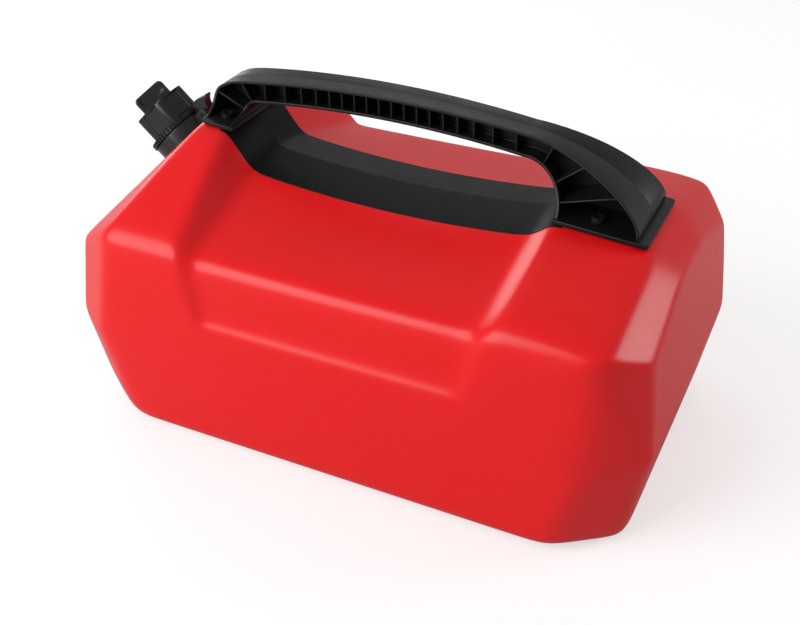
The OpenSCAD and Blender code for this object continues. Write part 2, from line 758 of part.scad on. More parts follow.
// Vent knob: a blade with a finger hollow in each side, on a stem through the cap's top
knob_z = hex_top + run_gap;
groove_d = 1.4;
seal_r = groove_d / 2 - 0.02;
seal_groove_r = stem_r - groove_d;
seal_z = (ceiling_z + hex_top) / 2;
clip_t = 0.85;
clip_in = 1.1;
clip_z = ceiling_z - run_gap - clip_t;
module vent_knob()
  color(black)
    on_neck() {
      rotate([0, 0, knob_turn])
        difference() {
          translate([0, knob_t / 2, knob_z])
            rotate([90, 0, 0])
              linear_extrude(height = knob_t)
                union() {
                  translate([-knob_w / 2, 0]) square([knob_w, knob_h - knob_corner]);
                  translate([knob_corner - knob_w / 2, 0]) square([knob_w - 2 * knob_corner, knob_h]);
                  for (s = [-1, 1])
                    translate([s * (knob_w / 2 - knob_corner), knob_h - knob_corner]) circle(r = knob_corner);
                }
          for (s = [-1, 1])
            translate([0, s * (knob_t / 2 + knob_w - knob_dish), knob_z + 0.7 * knob_h])
              rotate([0, 90, 0]) cylinder(r = knob_w, h = knob_w - knob_corner, center = true);
        }
      difference() {
        translate([0, 0, clip_z - clip_t]) cylinder(r = stem_r, h = knob_z - clip_z + clip_t + eps);
        translate([0, 0, seal_z - groove_d / 2 - seal_gap]) ring_cut(seal_groove_r, groove_d + 2 * seal_gap);
        translate([0, 0, clip_z - seal_gap]) ring_cut(stem_r - clip_in, clip_t + 2 * seal_gap);
      }
    }

module ring_cut(r, h)
  difference() {
    cylinder(r = stem_r + 1, h = h);
    translate([0, 0, -1]) cylinder(r = r, h = h + 2);
  }

module vent_seal()
  color(rubber)
    on_neck()
      translate([0, 0, seal_z])
        rotate_extrude()
          translate([seal_groove_r + groove_d / 2, 0]) circle(r = seal_r, $fn = 24);

module vent_clip()
  color(steel)
    on_neck()
      translate([0, 0, clip_z])
        difference() {
          cylinder(r = stem_r + 1.5, h = clip_t);
          translate([0, 0, -1]) cylinder(r = stem_r - clip_in + pin_gap, h = clip_t + 2);
          translate([0, -0.4 * stem_r, -1]) cube([2 * stem_r, 0.8 * stem_r, clip_t + 2]);
        }

// Lever: a nose that faces the teeth, a thumb pad towards the handle, a concave back
nose_x = teeth_r + run_gap;
nose_h = 4;
nose_z = flange_z - nose_h / 2;
hub_side = 0.95 * hub_r;
pad_z = lever_top - pad_drop;
back_d = 8;
back_h = 10;
module lever_outline()
  polygon([[pin_x - hub_side, pin_z], [nose_x, nose_z], [nose_x, nose_z + nose_h],
    [nose_x + nose_h, lever_top], [nose_x + 2 * nose_h, lever_top], [lever_tip, pad_z],
    [lever_tip, pad_z - pad_t],
    for (f = [80:-16:32]) [lever_tip - back_d * (0.25 + 0.75 * cos(f)),
      pad_z - pad_t - back_h * (1 - sin(f))],
    [pin_x + hub_side, pin_z]]);

module lock_lever()
  color(black)
    on_neck()
      difference() {
        translate([0, lever_w / 2, 0])
          rotate([90, 0, 0])
            difference() {
              union() {
                translate([pin_x, pin_z, 0]) cylinder(r = hub_r, h = lever_w);
                linear_extrude(height = lever_w) lever_outline();
              }
              translate([pin_x, pin_z, -1]) cylinder(r = pin_r + pin_gap, h = lever_w + 2);
            }
        translate([lever_tip - lever_w / 2, 0, 0])
          difference() {
            translate([0, -lever_w, 0]) cube([lever_w, 2 * lever_w, lever_top]);
            cylinder(r = lever_w / 2, h = lever_top);
          }
      }

module lever_pin()
  color(steel)
    on_neck()
      translate([pin_x, 0, pin_z])
        rotate([90, 0, 0]) cylinder(r = pin_r, h = 2 * (ear_y + ear_t), center = true);

// Foot: a rubber disc with a stem pressed up into the tank's floor
module foot(sx, sy)
  color(rubber)
    at_foot(sx, sy) {
      cylinder(r = foot_r, h = foot_top - 0.05);
      translate([0, 0, foot_top - 1]) cylinder(r = foot_stem_r, h = foot_stem_h + 1);
    }
module foot_front_left() foot(-1, -1);
module foot_front_right() foot(1, -1);
module foot_back_left() foot(-1, 1);
module foot_back_right() foot(1, 1);

tank();
saddle_liner();
handle();
handle_screws();
handle_inserts();
neck_seal();
filler_neck();
spout();
flame_screen();
cap_gasket();
cap();
vent_knob();
vent_seal();
vent_clip();
lock_lever();
lever_pin();
foot_front_left();
foot_front_right();
foot_back_left();
foot_back_right();
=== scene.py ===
"""Fuel caddy: the moulded skins, the handle, the closure and their finishes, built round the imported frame.

Laid out as an add-on and run as a script. Lengths in the settings are metres. The forms below are worked
out in millimetres, in the frame's own axes: +X along the tank away from the neck, -Y to the front, +Z up.
"""

import math

import bmesh
import bpy
import numpy as np
from bpy.props import FloatProperty, FloatVectorProperty, IntProperty, PointerProperty
from bpy.types import Operator, Panel, PropertyGroup
from mathutils import Matrix, Vector


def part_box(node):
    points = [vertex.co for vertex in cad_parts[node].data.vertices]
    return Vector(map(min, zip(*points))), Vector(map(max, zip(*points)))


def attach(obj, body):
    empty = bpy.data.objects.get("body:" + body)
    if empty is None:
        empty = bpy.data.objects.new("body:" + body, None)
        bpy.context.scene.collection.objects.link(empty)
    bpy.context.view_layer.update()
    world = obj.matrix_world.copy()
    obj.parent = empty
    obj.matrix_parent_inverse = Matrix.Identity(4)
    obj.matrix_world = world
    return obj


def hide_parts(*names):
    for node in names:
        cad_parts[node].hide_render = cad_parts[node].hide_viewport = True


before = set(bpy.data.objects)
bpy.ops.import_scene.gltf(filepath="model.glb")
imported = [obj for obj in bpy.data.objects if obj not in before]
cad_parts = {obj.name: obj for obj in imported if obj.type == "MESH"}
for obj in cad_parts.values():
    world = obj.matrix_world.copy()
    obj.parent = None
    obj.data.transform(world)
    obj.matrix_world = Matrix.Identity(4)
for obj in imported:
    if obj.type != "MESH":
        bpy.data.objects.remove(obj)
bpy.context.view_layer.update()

bl_info = {
    "name": "Fuel Caddy",
    "version": (1, 0, 0),
    "blender": (4, 5, 0),
    "location": "View3D > Sidebar > Caddy",
    "description": "Dresses the packed fuel caddy with moulded skins, a ribbed handle and a screw closure",
    "category": "Object",
}

MM = 0.001


def colour(name, description, default):
    """A colour setting."""
    return FloatVectorProperty(
        name=name, description=description, default=default, size=4, min=0, max=1, subtype="COLOR")


def length(name, description, default):
    """A length setting, in metres."""
    return FloatProperty(
        name=name, description=description, default=default, min=0, unit="LENGTH", precision=4)


def power(name, description, default):
    """A lamp's power setting, in watts."""
    return FloatProperty(name=name, description=description, default=default, min=0, unit="POWER")


def strength(name, description, default):
    """A plain strength setting."""
    return FloatProperty(name=name, description=description, default=default, min=0)


class CaddyTank(PropertyGroup):
    """Sizes and colour of the tank's skin."""

    belt_length: length("Belt length", "Length of the tank at its widest line", 0.440)
    belt_depth: length("Belt depth", "Depth of the tank at its widest line", 0.255)
    belt_height: length("Belt height", "Height of the widest line over the floor", 0.079)
    shoulder_height: length("Shoulder height", "Height of the front and back shoulders", 0.1635)
    ledge_height: length("Ledge height", "Height of the edge where each sloping panel turns down", 0.1575)
    sill_height: length("Sill height", "Height of the sill under each panel", 0.113)
    grid_step: length("Grid step", "Width of one face of the skin", 0.0026)
    skin: colour("Skin", "Colour of the tank", (0.80, 0.0065, 0.0090, 1))


class CaddyHandle(PropertyGroup):
    """Sizes and colour of the handle and the liner under it."""

    grip_width: length("Grip width", "Width of the grip at its middle", 0.0248)
    grip_height: length("Grip height", "Height of the grip's beam", 0.0163)
    flange: length("Flange", "Thickness of the beam's flanges", 0.0022)
    web: length("Web", "Thickness of the beam's middle web", 0.0025)
    rib: length("Rib", "Thickness of the ribs", 0.0014)
    rib_count: IntProperty(name="Ribs", description="Ribs between the two bends", default=18, min=4, max=30)
    plastic: colour("Plastic", "Colour of the handle", (0.006, 0.006, 0.0064, 1))


class CaddyClosure(PropertyGroup):
    """Sizes and colour of the neck, cap, knob and lever."""

    flange_radius: length("Flange radius", "Radius of the toothed flange", 0.0255)
    grip_radius: length("Grip radius", "Radius of the six-sided grip over its corners", 0.0238)
    teeth: IntProperty(name="Teeth", description="Teeth round the flange", default=48, min=12, max=90)
    plastic: colour("Plastic", "Colour of the closure", (0.008, 0.008, 0.0085, 1))


class CaddyStage(PropertyGroup):
    """Floor, light and camera."""

    floor: colour("Floor", "Colour of the floor", (0.52, 0.52, 0.52, 1))
    floor_glow: strength("Floor glow", "White added to the floor as the camera sees it", 0.57)
    key_power: power("Key power", "Power of the key lamp", 32)
    rim_power: power("Rim power", "Power of the rim lamp", 9)
    side_power: power("Side power", "Power of the side lamp", 5)
    back_power: power("Back power", "Power of the back lamp", 2)
    sky: strength("Sky", "Strength of the even light from all round", 0.38)


# Tank

RIDGE_HALF_W = 35.0
RIDGE_L = np.array([-139.0, -RIDGE_HALF_W, 213.0])
RIDGE_R = np.array([187.0, -RIDGE_HALF_W, 187.0])
RIDGE_SLOPE = (RIDGE_R[2] - RIDGE_L[2]) / (RIDGE_R[0] - RIDGE_L[0])
SLANT_L = np.array([-210.7, -95.71, 135.543])
LINER_HALF_W, LINER_LIFT, LINER_SKIRT = 35.0, 0.5, 2.5
CREST_RISE = 5.5
RECESS_DEPTH = 4.5
INNER_LOW = np.array([-168.0, -86.0, 24.0])
INNER_HIGH = np.array([184.0, 86.0, 136.0])
WRAP_MARGIN = 50.0
WRAP_STEPS = 26
FLOOR_LOW_X, FLOOR_LOW_Z, FLOOR_CURVE = 20.0, 175.2, 1680.0

# How far the tank's corners stand in from its ends and its front
CORNER_X, CORNER_Y = 38.0, 27.0
BASE_END_X, BASE_END_Y, BASE_Z, BASE_LIFT = 13.0, 33.0, 3.0, 1.6
BASE_LX, BASE_LY, BASE_RX, BASE_RY = 51.0, 2.0, 53.0, 4.0
SHOULDER_LX, SHOULDER_RX = 55.0, 31.0

# Points of the far end: inset from the end, y and z
BROW, FALL, FACET = (7.0, -93.0, 147.0), (11.0, -65.0, 169.0), (20.0, -65.0, 167.5)
INSIDE = np.array([0.0, -40.0, 100.0])

# How softly the flats meet
SOFT_PAIR, SOFT_UPPER, SOFT_FRONT, SOFT_LEFT = 3.0, 1.0, 4.6, 1.6
SOFT_LOWER, SOFT_BASE, SOFT_BELT = 2.8, 5.5, 0.35
SOFT_LEDGE, SOFT_WALL, SOFT_SILL, SOFT_RIM, SOFT_RIM_GAIN = 5.5, 2.6, 2.2, 0.8, 1.2

# Side walls of the panel recess: place, how far each leans in below the ledge, flare and its scale
WALL_L, WALL_L_LEAN, WALL_L_FLARE, WALL_L_SCALE = 97.0, 6.0, 0.8, 1.28
WALL_R, WALL_R_LEAN, WALL_R_FLARE, WALL_R_SCALE = 109.0, 8.4, 1.15, 1.52
WALL_R_RISE, RISE_SPAN = 4.0, 25.0
PANEL_SCALE, SILL_SCALE, SILL_CLEAR, SILL_SPAN = 0.98, 1.2, 3.0, 20.0


def ridge_z(x):
    """Height of the ridge at x."""
    return RIDGE_L[2] + RIDGE_SLOPE * (x - RIDGE_L[0])


def floor_z(x):
    """Height of the hand recess at the liner's edge, a shallow sag along the length."""
    return FLOOR_LOW_Z + (x - FLOOR_LOW_X) ** 2 / FLOOR_CURVE


def soft_max(values, k):
    """The largest of several fields, rounded over about k where two are close."""
    stack = np.stack(values)
    top = stack.max(0)
    return top + k * np.log(np.exp((stack - top) / k).sum(0))


def soft_min(values, k):
    """The smallest of several fields, rounded over about k where two are close."""
    return -soft_max([-v for v in values], k)


def flip(p):
    """The same point behind the middle plane."""
    return p * np.array([1, -1, 1])


class TankForm:
    """The tank's outer form as a signed distance, built from the flats that meet at its edges."""

    def __init__(self, tank):
        hl, hd, bz = tank.belt_length / MM / 2, tank.belt_depth / MM / 2, tank.belt_height / MM
        sz = tank.shoulder_height / MM
        point = lambda x, y, z: np.array([x, y, z], float)
        belt_le, belt_lf = point(-hl, -hd + CORNER_Y, bz), point(-hl + CORNER_X, -hd, bz)
        belt_re, belt_rf = point(hl, -hd + CORNER_Y, bz), point(hl - CORNER_X, -hd, bz)
        base_le = point(-hl + BASE_END_X, -hd + BASE_END_Y, BASE_Z)
        base_lf = point(-hl + BASE_LX, -hd + BASE_LY, BASE_Z)
        base_re = point(hl - BASE_END_X, -hd + BASE_END_Y, BASE_Z)
        base_rf = point(hl - BASE_RX, -hd + BASE_RY, BASE_Z)
        shoulder_l, shoulder_r = point(-hl + SHOULDER_LX, -hd, sz), point(hl - SHOULDER_RX, -hd, sz)
        brow_r, fall_r, facet_r = (point(hl - inset, y, z) for inset, y, z in (BROW, FALL, FACET))
        flats = lambda *threes: [self.flat(*three) for three in threes]
        self.corners = [
            flats((shoulder_l, belt_le, SLANT_L), (shoulder_l, belt_lf, belt_le)),
            flats((shoulder_r, fall_r, RIDGE_R), (shoulder_r, RIDGE_L, RIDGE_R)),
            flats((belt_re, shoulder_r, brow_r), (shoulder_r, belt_rf, belt_re))]
        self.upper = flats(
            (shoulder_l, SLANT_L, RIDGE_L), (shoulder_l, shoulder_r, RIDGE_L), (shoulder_r, brow_r, facet_r),
            (belt_le, SLANT_L, flip(SLANT_L)), (SLANT_L, RIDGE_L, flip(RIDGE_L)),
            (RIDGE_L, RIDGE_R, flip(RIDGE_R)), (fall_r, RIDGE_R, flip(RIDGE_R)),
            (brow_r, fall_r, flip(fall_r)), (belt_re, brow_r, flip(brow_r)))
        self.front = self.flat(belt_lf, belt_rf, shoulder_r)
        self.lower = flats(
            (belt_lf, belt_rf, base_lf), (belt_le, belt_lf, base_le), (belt_rf, belt_re, base_rf),
            (belt_le, base_le, flip(base_le)), (belt_re, base_re, flip(base_re)))
        self.panel_y = hd - RECESS_DEPTH
        self.ledge_z, self.sill_z = tank.ledge_height / MM, tank.sill_height / MM

    @staticmethod
    def flat(a, b, c):
        """Unit normal and offset of the flat through three points, facing out of the tank."""
        n = np.cross(b - a, c - a)
        n /= np.linalg.norm(n)
        return (n, n @ a) if n @ INSIDE < n @ a else (-n, -(n @ a))

    def panel_z(self, x, y):
        """Height of the recess floor: a low roof under the liner, then the sloping panels."""
        edge = floor_z(x)
        out = (np.abs(y) - LINER_HALF_W) / (self.panel_y - LINER_HALF_W)
        return np.where(out < 0, edge + CREST_RISE * (1 - np.abs(y) / LINER_HALF_W),
                        edge + (self.ledge_z - edge) * out)

    def distance(self, p):
        """Signed distance of points to the skin, near it."""
        x, y, z = p[:, 0], -np.abs(p[:, 1]), p[:, 2]
        q = np.stack([x, y, z], 1)
        gaps = lambda group: [q @ n - h for n, h in group]
        left, *others = [soft_max(gaps(pair), SOFT_PAIR) for pair in self.corners]
        upper = soft_max([soft_max(gaps(self.upper) + others, SOFT_UPPER), *gaps([self.front])], SOFT_FRONT)
        upper = soft_max([upper, left], SOFT_LEFT)
        lower = soft_max([soft_max(gaps(self.lower), SOFT_LOWER), BASE_LIFT - z], SOFT_BASE)
        outer = soft_max([upper, lower], SOFT_BELT)
        core = soft_max([(z - self.panel_z(x, y)) * PANEL_SCALE, -y - self.panel_y], SOFT_LEDGE)
        low = np.clip((self.ledge_z - z) / (self.ledge_z - self.sill_z), 0, 1)
        rise = np.clip((z - self.ledge_z) / RISE_SPAN, 0, 1)
        wall_l = ((x + WALL_L - WALL_L_LEAN * low) + WALL_L_FLARE * core) / WALL_L_SCALE
        wall_r = ((WALL_R + WALL_R_RISE * rise - WALL_R_LEAN * low - x) + WALL_R_FLARE * core) / WALL_R_SCALE
        sill = (z - self.sill_z + np.maximum(-y - self.panel_y, 0)) / SILL_SCALE
        kept = soft_min([soft_min([core, wall_l, wall_r], SOFT_WALL), sill], SOFT_SILL)
        above = np.clip((z - self.sill_z - SILL_CLEAR) / SILL_SPAN, 0, 1)
        return soft_max([outer, kept], SOFT_RIM + SOFT_RIM_GAIN * above)


def lattice_box(bm, low, high, step):
    """A box whose sides are grids of square faces about step wide."""
    made = bmesh.ops.create_cube(bm, size=1)
    size = Vector(high) - Vector(low)
    bmesh.ops.scale(bm, vec=size, verts=made["verts"])
    bmesh.ops.translate(bm, vec=(Vector(low) + Vector(high)) / 2, verts=made["verts"])
    for axis in range(3):
        edges = [e for e in bm.edges if abs((e.verts[1].co - e.verts[0].co)[axis]) > step]
        bmesh.ops.subdivide_edges(bm, edges=edges, cuts=round(size[axis] / step) - 1, use_grid_fill=True)


def wrap(points, distance):
    """Moves points from a box round the tank straight in to where distance is zero."""
    core = np.clip(points, INNER_LOW, INNER_HIGH)
    inside, outside = np.zeros(len(points)), np.full(len(points), 2.0)
    for _ in range(WRAP_STEPS):
        middle = (inside + outside) / 2
        out = distance(core + (points - core) * middle[:, None]) > 0
        outside = np.where(out, middle, outside)
        inside = np.where(out, inside, middle)
    return core + (points - core) * inside[:, None]


# Handle

LEG_X0, LEG_X1 = RIDGE_L[0] + 2.0, RIDGE_R[0] - 6.5
LEG_LEFT, LEG_RIGHT = 24.0, 55.0
BEND_LEFT, BEND_RIGHT = 11.0, 29.0
LEG_HALF_W = 32.0
BEND_XL, BEND_XR = LEG_X0 + LEG_LEFT + BEND_LEFT, LEG_X1 - LEG_RIGHT - BEND_RIGHT
GRIP_MID, GRIP_HALF = (BEND_XL + BEND_XR) / 2, (BEND_XR - BEND_XL) / 2
HAND_GAP = 49.5
GRIP_SAG, GRIP_FALL = 6.0, 3.0
PLATE_T, PLATE_CORNER_L, PLATE_CORNER_R, PLATE_LAP, PLATE_MARGIN = 3.0, 6.0, 2.5, 1.0, 1.0
BEND_POWER_L, BEND_POWER_R = 5.0, 1.55
WAIST_GAIN, FLARE_POWER_L, FLARE_POWER_R = 1.6, 7.0, 1.8
GROOVE_HALF_W, GROOVE_D, RIB_SET_BACK = 0.7, 0.25, 0.9
RIB_EVEN, RIB_SPREAD = 0.79, 0.15
END_RIBS_L, END_RIBS_R = (0.28, 0.69), (2.29, 2.58, 2.82)


class Beam:
    """The handle's side outline. u runs from the neck-end foot (-1) over the neck-end bend (0 to 1),
    the grip (1 to 2) and the far bend (2 to 3) to the far foot (4)."""

    def __init__(self, handle):
        self.height = handle.grip_height / MM
        self.half_w = handle.grip_width / MM / 2
        self.top = floor_z(GRIP_MID) + CREST_RISE + HAND_GAP + self.height
        self.bend_l = np.array([BEND_XL, self.grip_z(BEND_XL) - self.height - BEND_LEFT])
        self.bend_r = np.array([BEND_XR, self.grip_z(BEND_XR) - self.height - BEND_RIGHT])

    def grip_z(self, x):
        """Height of the grip's top at x."""
        v = (x - GRIP_MID) / GRIP_HALF
        return self.top - GRIP_FALL / 2 * v - GRIP_SAG * v * v

    @staticmethod
    def corner(centre, angle, a, b, power):
        """Point of a rounded corner a wide and b high, seen from centre at an angle."""
        c, s = math.cos(angle), math.sin(angle)
        r = ((abs(c) / a) ** power + (abs(s) / b) ** power) ** (-1 / power)
        return centre + r * np.array([c, s])

    def outer(self, u):
        """Point of the outer edge at u."""
        if u < 0:
            return np.array([LEG_X0, self.bend_l[1] - u * (ridge_z(LEG_X0) - self.bend_l[1])])
        if u < 1:
            angle = math.pi * (1 - u / 2)
            x = max(LEG_X0, BEND_XL - (self.height + BEND_LEFT) / max(math.tan(math.pi - angle), 0.1))
            return self.corner(self.bend_l, angle, LEG_LEFT + BEND_LEFT, self.grip_z(x) - self.bend_l[1],
                               BEND_POWER_L)
        if u <= 2:
            x = BEND_XL + (u - 1) * 2 * GRIP_HALF
            return np.array([x, self.grip_z(x)])
        if u <= 3:
            angle = math.pi / 2 * (3 - u)
            return self.corner(self.bend_r, angle, LEG_RIGHT + BEND_RIGHT, self.height + BEND_RIGHT,
                               BEND_POWER_R)
        return np.array([LEG_X1, self.bend_r[1] + (u - 3) * (ridge_z(LEG_X1) - self.bend_r[1])])

    def inner(self, u):
        """Point of the inner edge at u."""
        if u < 0:
            x = LEG_X0 + LEG_LEFT
            return np.array([x, self.bend_l[1] - u * (ridge_z(x) - self.bend_l[1])])
        if u < 1:
            return self.corner(self.bend_l, math.pi * (1 - u / 2), BEND_LEFT, BEND_LEFT, 2)
        if u <= 2:
            x = BEND_XL + (u - 1) * 2 * GRIP_HALF
            return np.array([x, self.grip_z(x) - self.height])
        if u <= 3:
            return self.corner(self.bend_r, math.pi / 2 * (3 - u), BEND_RIGHT, BEND_RIGHT, 2)
        x = LEG_X1 - LEG_RIGHT
        return np.array([x, self.bend_r[1] + (u - 3) * (ridge_z(x) - self.bend_r[1])])

    def width(self, u):
        """Half width of the beam at u; both legs flare out to their plates."""
        waist = self.half_w + WAIST_GAIN
        if u < 0 or u > 3:
            return LEG_HALF_W
        if u < 1:
            return waist + (LEG_HALF_W - waist) * (1 - u) ** FLARE_POWER_L
        if u < 2:
            return self.half_w + (waist - self.half_w) * (2 - u) ** 2
        return self.half_w + (LEG_HALF_W - self.half_w) * (u - 2) ** FLARE_POWER_R

    def stations(self):
        """Places along the beam for its cross sections, close together in the bends."""
        return np.concatenate([[-1, 0], np.linspace(0.02, 1, 40), np.linspace(1.02, 1.98, 40),
                               np.linspace(2, 3, 44), [4]])

    def ribs(self, count):
        """Places of the ribs, closer together in the middle of the grip than near the bends."""
        v = np.linspace(-1, 1, count)
        return [*END_RIBS_L, *(1.5 + (RIB_EVEN * v + RIB_SPREAD * v ** 5) / 2), *END_RIBS_R]


# Closure, drawn on the slant: x runs up the slant and z along the neck's axis

NECK_TILT = math.atan2(RIDGE_L[2] - SLANT_L[2], RIDGE_L[0] - SLANT_L[0])
NECK_DROP = 49.5
NECK = (Matrix.Translation((RIDGE_L[0] - NECK_DROP * math.cos(NECK_TILT), 0,
                            RIDGE_L[2] - NECK_DROP * math.sin(NECK_TILT)))
        @ Matrix.Rotation(-NECK_TILT, 4, "Y"))
COLLAR_R, COLLAR_Z0, COLLAR_Z1 = 24.5, 1.55, 14.0
THREAD_R, THREAD_H, THREAD_W, THREAD_PITCH, THREAD_TURNS = 16.4, 1.4, 1.6, 4.0, 2
NECK_BORE, SPIGOT_R, SPIGOT_H, RIM_Z = 14.5, 19.5, 9.0, 27.5
RUN_GAP, THREAD_ROOT, GRIP_LAP, STEM_GAP, PANEL_EDGE = 0.4, 0.3, 0.05, 0.05, 0.5
COLLAR_ROUND, RIM_ROUND, EAR_ROOT, EAR_LOW, EAR_HIGH = 1.0, 0.6, 4.0, 0.3, 1.6
CAP_BORE = THREAD_R + THREAD_H + RUN_GAP
FLANGE_Z, FLANGE_H, TOOTH_D = COLLAR_Z1 + RUN_GAP, 3.6, 1.0
HEX_Z, HEX_TOP, HEX_TURN, HEX_BORDER, HEX_SINK = FLANGE_Z + FLANGE_H, 37.5, 15, 2.4, 0.5
HEX_ROUND, HEX_BRIM = 3.4, 1.7
CEILING_Z, STEM_R, STEM_Z, STEM_CORE, STEM_LAP = 32.95, 4.0, 31.0, 0.6, 0.5
KNOB_W, KNOB_T, KNOB_H, KNOB_Z, KNOB_TURN, KNOB_CORNER = 26.0, 9.0, 14.4, HEX_TOP + RUN_GAP, 45, 4.0
KNOB_TAPER, KNOB_EDGE, KNOB_EDGE_REACH, KNOB_WEB = 0.14, 0.28, 0.09, 1.6
HOLLOW_D, HOLLOW_HALF_W, HOLLOW_MID, HOLLOW_HALF_H, HOLLOW_EASE = 1.7, 0.80, 0.62, 0.98, 0.35
LEVER_W, LEVER_TIP, LEVER_TOP, PAD_DROP, PAD_T = 7.0, 45.0, 19.0, 3.0, 1.4
PIN_X, PIN_Z, HUB_R, NOSE_H, HOOK_W, HOOK_H = 31.5, 7.0, 4.3, 4.0, 8.0, 10.0
EAR_Y, EAR_T = LEVER_W / 2 + RUN_GAP, 3.0
FOOT_X, FOOT_Y, FOOT_R, FOOT_TOP = 168.0, 98.0, 11.0, 4.5
FOOT_PEG_R, FOOT_PEG_H, FOOT_CORE, FOOT_ROUND = 4.0, 8.0, 0.4, 1.2


# Modelling helpers

def to_piece(bm, name, body, material, nodes=(), matrix=None, sharp=35, edge=None):
    """Makes an object of a bmesh drawn in millimetres, lets it ride on a body and stand for CAD nodes."""
    bmesh.ops.transform(bm, matrix=Matrix.Scale(MM, 4) @ (matrix or Matrix()), verts=bm.verts)
    bmesh.ops.recalc_face_normals(bm, faces=bm.faces)
    mesh = bpy.data.meshes.new(name)
    bm.to_mesh(mesh)
    bm.free()
    mesh.shade_smooth()
    if sharp:
        mesh.set_sharp_from_angle(angle=math.radians(sharp))
    piece = bpy.data.objects.new(name, mesh)
    bpy.context.scene.collection.objects.link(piece)
    mesh.materials.append(material)
    if edge:
        round_edges(piece, edge)
    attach(piece, body)
    if nodes:
        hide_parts(*nodes)
    return piece


def round_edges(piece, width, segments=2):
    """Rounds a piece's sharp edges by a width in millimetres."""
    bevel = piece.modifiers.new("rounded_edges", "BEVEL")
    bevel.width = width * MM
    bevel.segments = segments
    bevel.limit_method = "ANGLE"
    bevel.angle_limit = math.radians(32)
    bevel.profile = 0.5


def sweep(bm, rings):
    """A closed solid through rings of points: the first ring's face is extruded from ring to ring."""
    first = [bm.verts.new(p) for p in rings[0]]
    face = bm.faces.new(first)
    for ring in rings[1:]:
        made = bmesh.ops.extrude_face_region(bm, geom=[face])
        face = next(f for f in made["geom"] if isinstance(f, bmesh.types.BMFace))
        for vert, p in zip(face.verts, ring):
            vert.co = p
    start = list(dict.fromkeys(first))
    if all(v.is_valid for v in start) and bm.faces.get(start) is None:
        bm.faces.new(reversed(start))


def prism(bm, outline, y0, y1):
    """An outline in the XZ plane, extruded from y0 to y1."""
    sweep(bm, [[(x, y0, z) for x, z in outline], [(x, y1, z) for x, z in outline]])


def turned(bm, outline, steps=96):
    """A closed outline of (radius, height) points, spun once about Z."""
    verts = [bm.verts.new((r, 0, z)) for r, z in outline]
    edges = [bm.edges.new((verts[i], verts[(i + 1) % len(verts)])) for i in range(len(verts))]
    bmesh.ops.spin(bm, geom=verts + edges, axis=(0, 0, 1), cent=(0, 0, 0), angle=2 * math.pi,
                   steps=steps, use_merge=True, use_duplicate=False)
    bmesh.ops.remove_doubles(bm, verts=bm.verts, dist=1e-5)


def arc(x, z, radius, start, end, steps=12):
    """Points of an arc, from one angle to another in degrees."""
    angles = np.radians(np.linspace(start, end, steps))
    return [(x + radius * math.cos(a), z + radius * math.sin(a)) for a in angles]


def ring(bm, line, z):
    """The edges of a closed loop through (radius, angle) points at height z."""
    verts = [bm.verts.new((r * math.cos(a), r * math.sin(a), z)) for r, a in line]
    return [bm.edges.new((verts[i - 1], verts[i])) for i in range(len(verts))]


def wound_ridge(bm, root, crest, z0, turns):
    """A thread ridge wound round Z from a root radius to a crest radius."""
    profile = [(root, -THREAD_W / 2), (crest, -THREAD_W / 4), (crest, THREAD_W / 4), (root, THREAD_W / 2)]
    verts = [bm.verts.new((r, 0, z0 + z)) for r, z in profile]
    start = bm.faces.new(verts)
    steps = 48 * turns
    made = bmesh.ops.spin(bm, geom=[start, *start.edges, *verts], axis=(0, 0, 1), cent=(0, 0, 0),
                          angle=2 * math.pi * turns, steps=steps, dvec=(0, 0, THREAD_PITCH * turns / steps))
    if not made["geom_last"]:
        raise RuntimeError("the thread ridge has no end")


# Finishes

RELIEF, PLASTIC_IOR = 0.0004, 1.4


def link(tree, a, b):
    """Joins an output to an input."""
    tree.links.new(a, b)


def grain_group():
    """A node group of moulded plastic: a fine grain height, a slow waver height and a mottle mask."""
    found = bpy.data.node_groups.get("moulded_grain")
    if found:
        return found
    group = bpy.data.node_groups.new("moulded_grain", "ShaderNodeTree")
    sockets = group.interface
    sockets.new_socket("Grain Scale", in_out="INPUT", socket_type="NodeSocketFloat").default_value = 1500
    sockets.new_socket("Mottle Scale", in_out="INPUT", socket_type="NodeSocketFloat").default_value = 60
    sockets.new_socket("Waver", in_out="INPUT", socket_type="NodeSocketFloat").default_value = 0.5
    for name in ("Height", "Mottle"):
        sockets.new_socket(name, in_out="OUTPUT", socket_type="NodeSocketFloat")
    nodes = group.nodes
    given, put = nodes.new("NodeGroupInput"), nodes.new("NodeGroupOutput")
    coords = nodes.new("ShaderNodeTexCoord")
    fine, mottle, waver = (nodes.new("ShaderNodeTexNoise") for _ in range(3))
    fine.inputs["Detail"].default_value = 3
    mottle.inputs["Detail"].default_value = 4
    mottle.inputs["Roughness"].default_value = 0.62
    waver.inputs["Scale"].default_value = 16
    waver.inputs["Detail"].default_value = 1
    for noise in (fine, mottle, waver):
        link(group, coords.outputs["Object"], noise.inputs["Vector"])
    link(group, given.outputs["Grain Scale"], fine.inputs["Scale"])
    link(group, given.outputs["Mottle Scale"], mottle.inputs["Scale"])
    slow = nodes.new("ShaderNodeMath")
    slow.operation = "MULTIPLY"
    link(group, waver.outputs["Fac"], slow.inputs[0])
    link(group, given.outputs["Waver"], slow.inputs[1])
    total = nodes.new("ShaderNodeMath")
    total.operation = "ADD"
    link(group, fine.outputs["Fac"], total.inputs[0])
    link(group, slow.outputs["Value"], total.inputs[1])
    link(group, total.outputs["Value"], put.inputs["Height"])
    link(group, mottle.outputs["Fac"], put.inputs["Mottle"])
    return group


